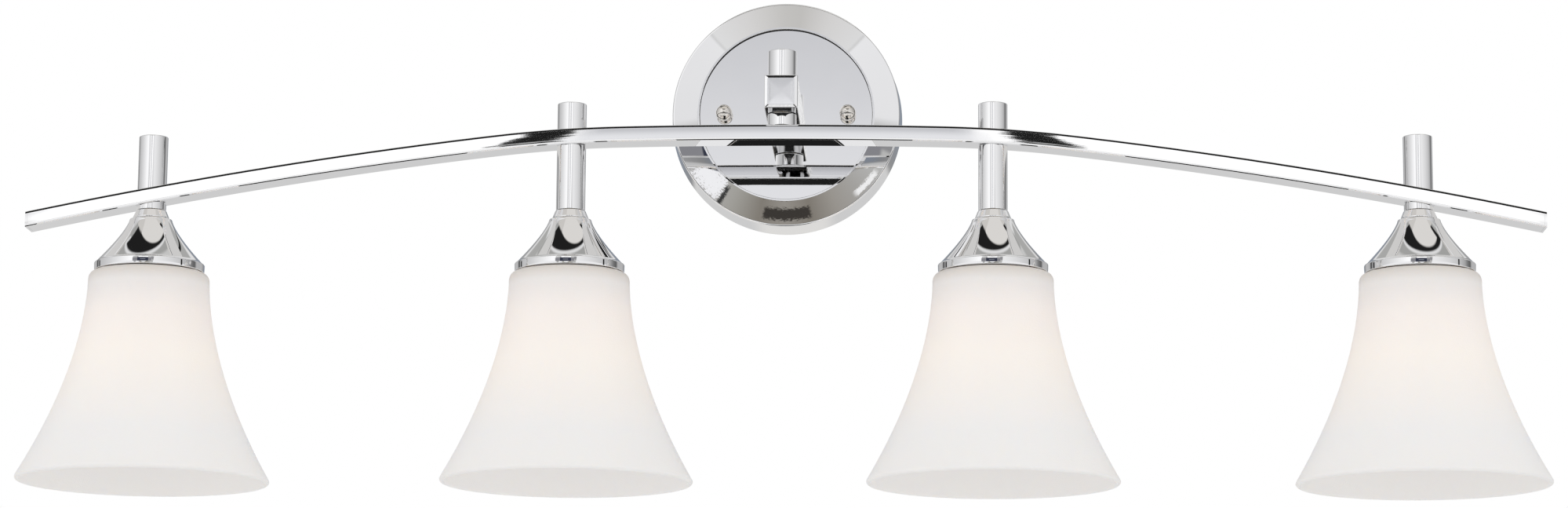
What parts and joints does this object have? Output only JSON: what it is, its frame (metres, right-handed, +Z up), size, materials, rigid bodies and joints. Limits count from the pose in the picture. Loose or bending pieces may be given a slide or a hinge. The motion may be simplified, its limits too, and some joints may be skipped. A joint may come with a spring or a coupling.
{
  "type": "vanity light bar",
  "caption": "Wall-mounted vanity light: a round canopy and square arm hold an arched rectangular bar with bell-shaped opal glass shades on short posts.",
  "frame": {"origin": "centre of the mounting strap's back face, on the wall plane and on the canopy's axis", "axes": "+X along the bar to the viewer's right, +Y into the wall, +Z up; the lamps are on the -Y side"},
  "size_m": [0.8356, 0.146, 0.2827],
  "materials": {
    "chrome": "polished chrome plate, mirror bright",
    "opal_glass": "white opal glass, satin etched, glows warm when lit",
    "bulb_glass": "frosted white lamp glass",
    "bulb_cap_metal": "bright rolled-thread lamp cap",
    "black_plastic": "black moulded phenolic",
    "brass": "plain threaded brass",
    "zinc_steel": "zinc-plated steel",
    "green_screw": "green grounding screw"
  },
  "bodies": {
    "fixture": {"mounting_strap": "zinc_steel", "ground_screw": "green_screw", "stud_left": "zinc_steel", "stud_right": "zinc_steel", "canopy": "chrome", "arm_nut": "zinc_steel", "arm_nipple": "brass", "arm": "chrome", "centre_post_top": "chrome", "centre_post_bottom": "chrome", "centre_nipple": "brass", "bar": "chrome", "bar_cap_left": "chrome", "bar_cap_right": "chrome", "post_cap_1": "chrome", "stem_1": "chrome", "nipple_1": "brass", "collar_1": "chrome", "socket_cup_1": "chrome", "socket_1": "black_plastic", "shade_1": "opal_glass", "post_cap_2": "chrome", "stem_2": "chrome", "nipple_2": "brass", "collar_2": "chrome", "socket_cup_2": "chrome", "socket_2": "black_plastic", "shade_2": "opal_glass", "post_cap_3": "chrome", "stem_3": "chrome", "nipple_3": "brass", "collar_3": "chrome", "socket_cup_3": "chrome", "socket_3": "black_plastic", "shade_3": "opal_glass", "post_cap_4": "chrome", "stem_4": "chrome", "nipple_4": "brass", "collar_4": "chrome", "socket_cup_4": "chrome", "socket_4": "black_plastic", "shade_4": "opal_glass"},
    "ring_1": {"shade_ring_1": "black_plastic"},
    "bulb_1": {"bulb_cap_1": "bulb_cap_metal", "bulb_globe_1": "bulb_glass"},
    "ring_2": {"shade_ring_2": "black_plastic"},
    "bulb_2": {"bulb_cap_2": "bulb_cap_metal", "bulb_globe_2": "bulb_glass"},
    "ring_3": {"shade_ring_3": "black_plastic"},
    "bulb_3": {"bulb_cap_3": "bulb_cap_metal", "bulb_globe_3": "bulb_glass"},
    "ring_4": {"shade_ring_4": "black_plastic"},
    "bulb_4": {"bulb_cap_4": "bulb_cap_metal", "bulb_globe_4": "bulb_glass"},
    "nut_left": {"cap_nut_left": "chrome"},
    "nut_right": {"cap_nut_right": "chrome"}
  },
  "joints": [
    {"name": "bulb_1_slide", "type": "slide", "parent": "fixture", "child": "bulb_1", "axis": [0, 0, -1], "range_m": [0, 0.125]},
    {"name": "bulb_2_slide", "type": "slide", "parent": "fixture", "child": "bulb_2", "axis": [0, 0, -1], "range_m": [0, 0.125]},
    {"name": "bulb_3_slide", "type": "slide", "parent": "fixture", "child": "bulb_3", "axis": [0, 0, -1], "range_m": [0, 0.125]},
    {"name": "bulb_4_slide", "type": "slide", "parent": "fixture", "child": "bulb_4", "axis": [0, 0, -1], "range_m": [0, 0.125]},
    {"name": "ring_1_turn", "type": "hinge", "parent": "fixture", "child": "ring_1", "pos_m": [-0.34875, -0.077, -0.107], "axis": [0, 0, 1], "range_deg": [0, 720]},
    {"name": "ring_2_turn", "type": "hinge", "parent": "fixture", "child": "ring_2", "pos_m": [-0.11625, -0.077, -0.107], "axis": [0, 0, 1], "range_deg": [0, 720]},
    {"name": "ring_3_turn", "type": "hinge", "parent": "fixture", "child": "ring_3", "pos_m": [0.11625, -0.077, -0.107], "axis": [0, 0, 1], "range_deg": [0, 720]},
    {"name": "ring_4_turn", "type": "hinge", "parent": "fixture", "child": "ring_4", "pos_m": [0.34875, -0.077, -0.107], "axis": [0, 0, 1], "range_deg": [0, 720]},
    {"name": "nut_left_turn", "type": "hinge", "parent": "fixture", "child": "nut_left", "pos_m": [-0.03492, -0.0252, 0], "axis": [0, -1, 0], "range_deg": [0, 1440]},
    {"name": "nut_right_turn", "type": "hinge", "parent": "fixture", "child": "nut_right", "pos_m": [0.03492, -0.0252, 0], "axis": [0, -1, 0], "range_deg": [0, 1440]}
  ]
}
